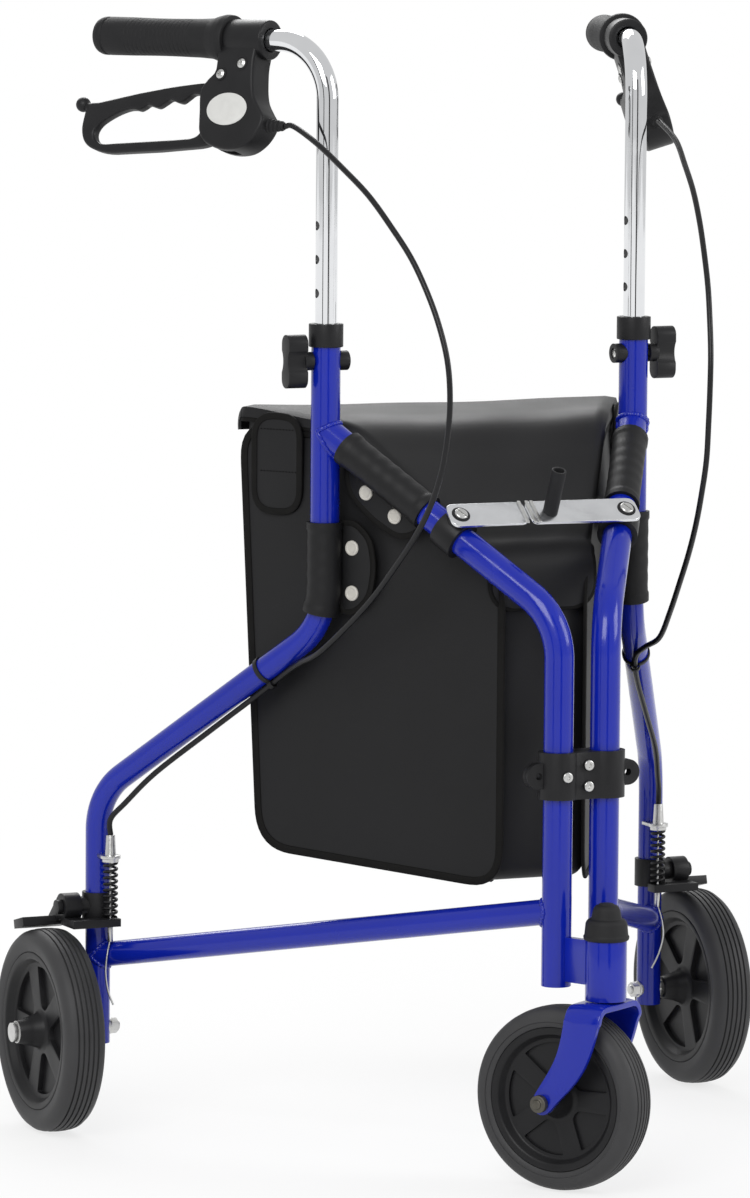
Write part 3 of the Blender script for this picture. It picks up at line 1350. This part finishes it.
flap_runs = [flap_length * row / (len(flap_line) - 1) for row in range(len(flap_line))]
flap_shares = [2 * column / flap_columns - 1 for column in range(flap_columns + 1)]
flap_verts = [flap_spot(run, share) for run in flap_runs for share in flap_shares]
flap_faces = strip_faces(len(flap_runs), len(flap_shares), round_rows=False)
flap = mesh_piece("soft_flap", flap_verts, [], flap_faces)
edit(flap)
bpy.ops.mesh.normals_make_consistent(inside=False)
bpy.ops.object.mode_set(mode="OBJECT")
if flap.data.polygons[len(flap_faces) // 2].normal.z < 0:
    flap.data.flip_normals()
folds(thicken(flap, flap_t), vinyl, "bag_flap")


def flap_border(inset):
    """Points and ways out along the flap's free edge, from back left round the front to back right."""
    bottom = flap_length - max(inset, edge_gap)
    side_share = 1 - inset / middle_half
    side_runs = [run for run in flap_runs if flap_sewn < run < bottom]
    border = [(run, -side_share) for run in side_runs]
    border += [(bottom, share * side_share) for share in flap_shares[1:-1]]
    border += [(run, side_share) for run in reversed(side_runs)]
    return [flap_spot(*spot) for spot in border], [flap_way(*spot) for spot in border]


border_line, border_ways = flap_border(0.0)
flap_tape = folds(ribbon("flap_tape", border_line, border_ways, tape_w, tape_t), tape)
seam_line, seam_ways = flap_border(seam_inset)
seam_line = [spot + way * stitch_lift for spot, way in zip(seam_line, seam_ways)]
flap_seam = folds(stitches("flap_stitches", seam_line, seam_ways), tape)

# Closing tabs
# A short tab of doubled cloth hangs from the flap on each side panel. Woven tape binds its edge, and two rows
# of stitches run across it.
tab_corners = [(0.277, 0.640), (0.324, 0.640), (0.324, 0.557), (0.277, 0.557)]
tab_out = -0.0196
tab_seams = [0.6285, 0.592]
tab_seam_ends = (0.281, 0.320)
patch_t = 0.0024


def bound_patch(name, side, loop, out, edge_out, tape_size):
    """A patch of doubled cloth beside a side frame, so far outboard of it, with tape round its edge."""
    along = in_frame(side, 1, 0, 0) - in_frame(side, 0, 0, 0)
    up = Vector((0, 0, 1))
    turn = Matrix((along, up, along.cross(up))).transposed().to_4x4()
    patch = plate(name, loop, patch_t, Matrix.Translation(in_frame(side, 0, out, 0)) @ turn, 0.0007, 2)
    settle(patch, side + "_frame", vinyl)
    edge_line = spaced([in_frame(side, s, edge_out, z) for s, z in loop], 0.003, closed=True)
    binding = ribbon(name + "_tape", edge_line, [outward_of(side)] * len(edge_line), *tape_size, True)
    settle(binding, side + "_frame", tape)


for side in sides:
    tab_loop = rounded_loop(tab_corners, 0.020, 8)
    bound_patch(side + "_tab", side, tab_loop, tab_out, tab_out + 0.0003, (0.0062, 0.0036))
    for number, z in enumerate(tab_seams):
        row = [in_frame(side, s, tab_out + 0.0014, z) for s in tab_seam_ends]
        tab_seam = stitches(f"{side}_tab_stitches_{number}", row, [outward_of(side)] * 2)
        settle(tab_seam, side + "_frame", tape)

# Sleeves
# Straps of the same cloth wrap the upright and the diagonal tube on each side, with sewn hems, and close with
# pale press studs on their bound wings. They hold the bag up.
stud = clouded("pale press stud", "vinyl", (0.55, 0.53, 0.48), 0.35, (300,), (0.48, 0.46, 0.42),
               (0.62, 0.60, 0.55), (0.28, 0.2))
sleeve_r = main_r + 0.0024
hem = 0.008
hem_swell = 1.055
crumple = 0.012
sleeve_pitch = 0.002
diagonal_way = Vector((1, diagonal_rise)).normalized()


def on_diagonal(run, lift):
    """A side frame's along and height, a distance up its diagonal tube and a lift off its axis."""
    spot = Vector((0, corner_z)) + diagonal_way * run + Vector((-diagonal_way.y, diagonal_way.x)) * lift
    return tuple(spot)


def sleeve(name, points):
    """A hollow cloth tube along a line, thicker at its hems and slightly crumpled."""
    line = spaced(smooth_line(points, 8), sleeve_pitch)
    last = len(line) - 1
    swell = []
    for i in range(len(line)):
        hemmed = min(i, last - i) * sleeve_pitch < hem
        swell.append((hem_swell if hemmed else 1.0) + crumple * sin(i * 0.9) * sin(pi * i / last))
    core_line = [line[0] * 2 - line[1], *line, line[-1] * 2 - line[-2]]
    core = round_bar("core", core_line, main_r - 0.0006, roundness=8)
    return carve(round_bar(name, line, sleeve_r, swell=swell, roundness=8), core)


sleeve_lines = {
    "upright": [(upright_run, 0.553), (upright_run, 0.525), (upright_run, 0.497), (0.2395, 0.485),
                (0.2417, 0.474)],
    "diagonal": [on_diagonal(run, 0) for run in (0.157, 0.190, 0.225, 0.254)],
}
wing_outlines = {
    "upright": [(0.2285, 0.476), (0.2285, 0.552), (0.214, 0.553), (0.198, 0.540), (0.1935, 0.515),
                (0.198, 0.489), (0.214, 0.475)],
    "diagonal": [on_diagonal(run, lift) for run, lift in (
        (0.159, -0.004), (0.251, -0.004), (0.250, -0.020), (0.236, -0.036), (0.205, -0.041), (0.174, -0.039),
        (0.160, -0.024))],
}
stud_spots = {
    "upright": [(0.2155, 0.531), (0.2153, 0.492)],
    "diagonal": [(0.2015, 0.5796), (0.1721, 0.5609)],
}
stud_section = [(0.0, 0.0066), (0.0012, 0.0066), (0.0019, 0.0058), (0.0019, 0.0046), (0.0014, 0.0040),
                (0.0014, 0.0)]
wing_out = -0.0100
for side in sides:
    wrapped = ["right_sleeves"] if side == "right" else []
    for kind in sleeve_lines:
        name = f"{side}_{kind}"
        wrap = sleeve(name + "_sleeve", [in_frame(side, s, 0, z) for s, z in sleeve_lines[kind]])
        settle(wrap, side + "_frame", vinyl, *wrapped)
        wrapped = []
        wing_loop = rounded_loop(wing_outlines[kind], 0.010, 6)
        bound_patch(name + "_wing", side, wing_loop, wing_out, wing_out, (0.0055, 0.0034))
        for number, (s, z) in enumerate(stud_spots[kind]):
            seat = facing(in_frame(side, s, wing_out + 0.0011, z), outward_of(side))
            press = turned(f"{name}_stud_{number}", rounded_profile(stud_section, 0.0006, 3), seat, 40)
            settle(press, side + "_frame", stud)
